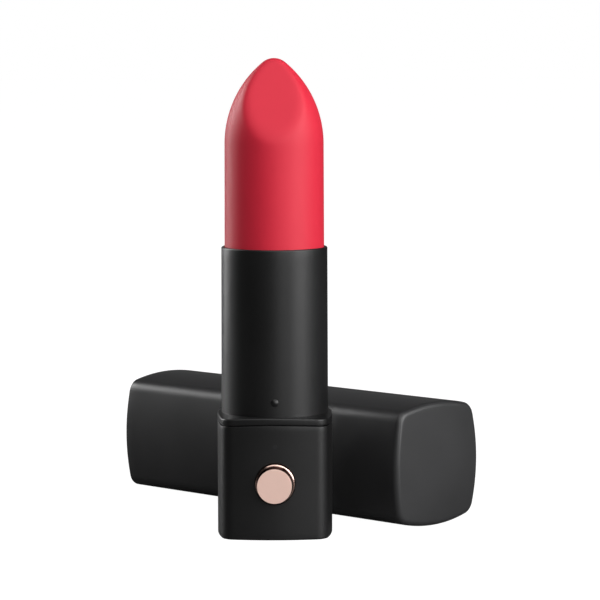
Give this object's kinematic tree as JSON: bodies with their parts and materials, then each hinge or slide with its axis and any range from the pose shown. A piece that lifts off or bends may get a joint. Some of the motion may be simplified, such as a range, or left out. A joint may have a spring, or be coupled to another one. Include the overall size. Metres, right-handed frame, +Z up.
{
  "type": "lipstick-shaped massager with cap",
  "caption": "Standing lipstick-shaped rechargeable massager: silicone bullet with a slanted facet, round collar, square base with a push button, and a loose square cap lying behind it.",
  "frame": {"origin": "middle of the standing case's underside, on the surface it stands on", "axes": "+Z up the case, -Y the side with the button, +X to the right as seen from that side; the cap lies behind the case"},
  "size_m": [0.0744, 0.0824, 0.095],
  "materials": {
    "soft_touch_black": "soft-touch matte",
    "soft_touch_black_cap": "soft-touch matte",
    "red_silicone": "velvet matte silicone",
    "rose_gold": "satin plated face, polished rim",
    "seal_rubber": "matte",
    "core_plastic": "moulded",
    "chassis_plastic": "moulded",
    "screw_steel": "plain",
    "board_laminate": "solder mask",
    "chip_plastic": "moulded",
    "board_parts_ceramic": "fired",
    "led_lens": "clear",
    "smoked_lens": "smoked",
    "plunger_plastic": "moulded",
    "contact_gold": "gold plated",
    "magnet_nickel": "nickel plated",
    "cell_wrap": "shrink wrap",
    "foam": "closed-cell foam",
    "lead_red": "insulated",
    "lead_blue": "insulated",
    "motor_steel": "drawn",
    "magnet_ferrite": "sintered",
    "bush_brass": "sintered",
    "winding_copper": "enamelled wire",
    "weight_metal": "sintered",
    "liner_plastic": "moulded"
  },
  "bodies": {
    "case": {"base_shell": "soft_touch_black", "collar_shell": "soft_touch_black", "seam_gasket": "seal_rubber", "silicone_sleeve": "red_silicone", "bullet_core": "core_plastic", "chassis": "chassis_plastic", "chassis_screws": "screw_steel", "circuit_board": "board_laminate", "control_chip": "chip_plastic", "board_parts": "board_parts_ceramic", "indicator_led": "led_lens", "light_pipe": "smoked_lens", "tact_switch": "chip_plastic", "button_seal": "seal_rubber", "charging_contacts": "contact_gold", "charging_magnets": "magnet_nickel", "battery_cell": "cell_wrap", "battery_pads": "foam", "battery_leads": "lead_red", "motor_can": "motor_steel", "motor_end_cap": "core_plastic", "motor_magnet": "magnet_ferrite", "motor_bushes": "bush_brass", "motor_holder": "seal_rubber", "motor_leads": "lead_blue"},
    "button": {"button_cap": "rose_gold", "switch_plunger": "plunger_plastic"},
    "rotor": {"motor_shaft": "screw_steel", "motor_winding": "winding_copper", "eccentric_weight": "weight_metal"},
    "cap": {"cap_shell": "soft_touch_black_cap", "cap_liner": "liner_plastic"}
  },
  "joints": [
    {"name": "button_press", "type": "slide", "parent": "case", "child": "button", "axis": [0, 1, 0], "range_m": [0, 0.0004], "stiffness_N_per_m": 400, "springref_m": -0.0012},
    {"name": "motor_spin", "type": "hinge", "parent": "case", "child": "rotor", "pos_m": [0, 0, 0.068], "axis": [0, 0, 1], "continuous": true},
    {"name": "cap_lift", "type": "slide", "parent": "case", "child": "cap", "axis": [0, 0, 1], "range_m": [0, 0.075]}
  ]
}
